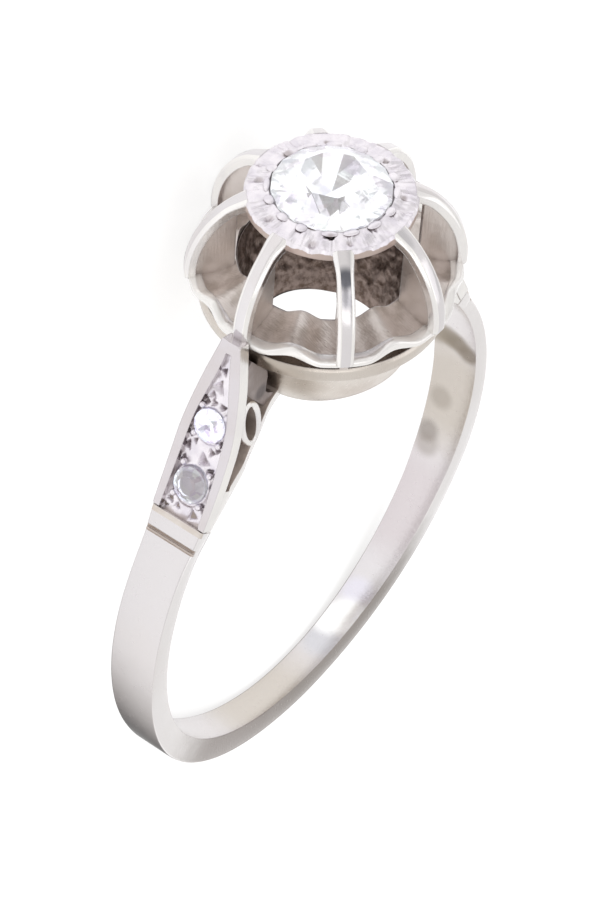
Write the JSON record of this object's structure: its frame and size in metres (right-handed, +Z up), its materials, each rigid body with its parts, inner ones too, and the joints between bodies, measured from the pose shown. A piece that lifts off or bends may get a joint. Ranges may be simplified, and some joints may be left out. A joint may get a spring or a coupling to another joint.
{
  "type": "solitaire ring",
  "caption": "Finger ring with a round brilliant in a ribbed illusion head and small brilliants set in pierced, tapered shoulders.",
  "frame": {"origin": "on the table surface, below the middle of the ring's bounding box", "axes": "+Z up from the table on which the ring lies on its side, -X towards the head and its main stone, +X towards the back of the band, +Y towards the rear shoulder"},
  "size_m": [0.0248, 0.0184, 0.0089],
  "materials": {
    "white_gold": "polished and worn",
    "brilliant": "faceted, clear"
  },
  "bodies": {
    "root": {"ring_body": "white_gold", "center_stone": "brilliant", "stone_front_upper": "brilliant", "stone_front_lower": "brilliant", "stone_rear_upper": "brilliant", "stone_rear_lower": "brilliant"}
  },
  "joints": []
}
